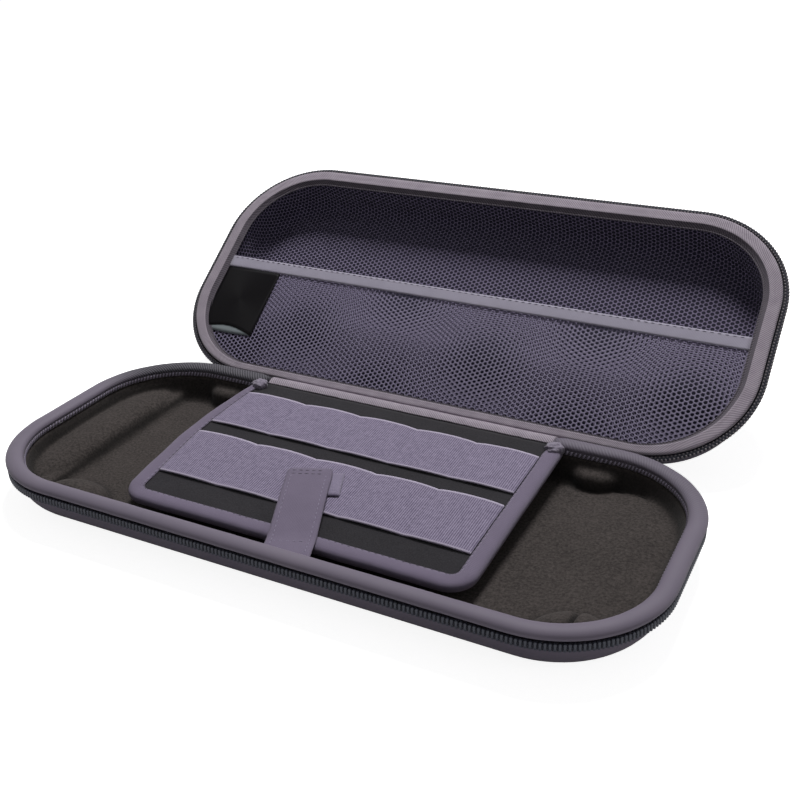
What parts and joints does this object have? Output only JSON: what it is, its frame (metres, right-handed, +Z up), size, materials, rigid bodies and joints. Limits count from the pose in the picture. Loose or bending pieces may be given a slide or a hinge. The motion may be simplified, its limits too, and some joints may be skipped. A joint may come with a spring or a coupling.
{
  "type": "portable game console case",
  "caption": "Zip-round moulded shell case for a handheld game console, open, with a card-pocket flap in the base and a mesh pocket in the lid.",
  "frame": {"origin": "middle of the flat underside of the base, on the surface that the open case stands on", "axes": "+X along the length, -Y towards the front zip edge, +Y towards the hinge and the open lid, +Z up"},
  "size_m": [0.269, 0.2269, 0.0814],
  "materials": {
    "shell_cover": "matt smooth synthetic leather over moulded foam",
    "twill_binding": "fine diagonal twill tape",
    "zip_tape": "woven tape",
    "zip_coil": "satin nylon coil",
    "tray_fleece": "short fleece bonded to moulded foam",
    "lid_lining": "dark knit over moulded foam",
    "mesh": "open knitted mesh",
    "pocket_elastic": "flat woven elastic",
    "label_satin": "black satin, left bare",
    "flap_felt": "dense felt",
    "flap_binding": "smooth folded binding",
    "band_elastic": "ribbed woven elastic",
    "tab_cover": "smooth cloth, stitched edges",
    "loop_pile": "soft loop pile",
    "hook_tape": "fine plastic hooks",
    "slider_metal": "satin dark lacquer over zinc"
  },
  "bodies": {
    "base_half": {"base_shell": "shell_cover", "base_rim_roll": "shell_cover", "base_binding": "twill_binding", "base_zip_tape": "zip_tape", "base_zip_coil": "zip_coil", "base_tray": "tray_fleece", "hinge_strip_base": "twill_binding", "flap_panel": "flap_felt", "flap_binding": "flap_binding", "upper_card_band": "band_elastic", "lower_card_band": "band_elastic", "closure_tab": "tab_cover", "loop_patch": "loop_pile", "hook_patch": "hook_tape", "zip_slider_left": "slider_metal", "zip_slider_right": "slider_metal"},
    "lid_half": {"hinge_strip_lid": "twill_binding", "lid_shell": "shell_cover", "lid_binding": "twill_binding", "lid_zip_tape": "zip_tape", "lid_zip_coil": "zip_coil", "lid_lining": "lid_lining", "mesh_pocket": "mesh", "pocket_elastic": "pocket_elastic", "blank_label": "label_satin"},
    "left_puller": {"zip_puller_left": "slider_metal"},
    "right_puller": {"zip_puller_right": "slider_metal"}
  },
  "joints": [
    {"name": "lid_hinge", "type": "hinge", "parent": "base_half", "child": "lid_half", "pos_m": [0, 0.0617, 0.015], "axis": [1, 0, 0], "range_deg": [0, 144]},
    {"name": "left_puller_swing", "type": "hinge", "parent": "base_half", "child": "left_puller", "pos_m": [-0.076, 0.06023, 0.00937], "axis": [0, -0.9781, 0.2079], "range_deg": [-16, 160]},
    {"name": "right_puller_swing", "type": "hinge", "parent": "base_half", "child": "right_puller", "pos_m": [0.076, 0.06023, 0.00937], "axis": [0, 0.9781, -0.2079], "range_deg": [-16, 160]}
  ]
}
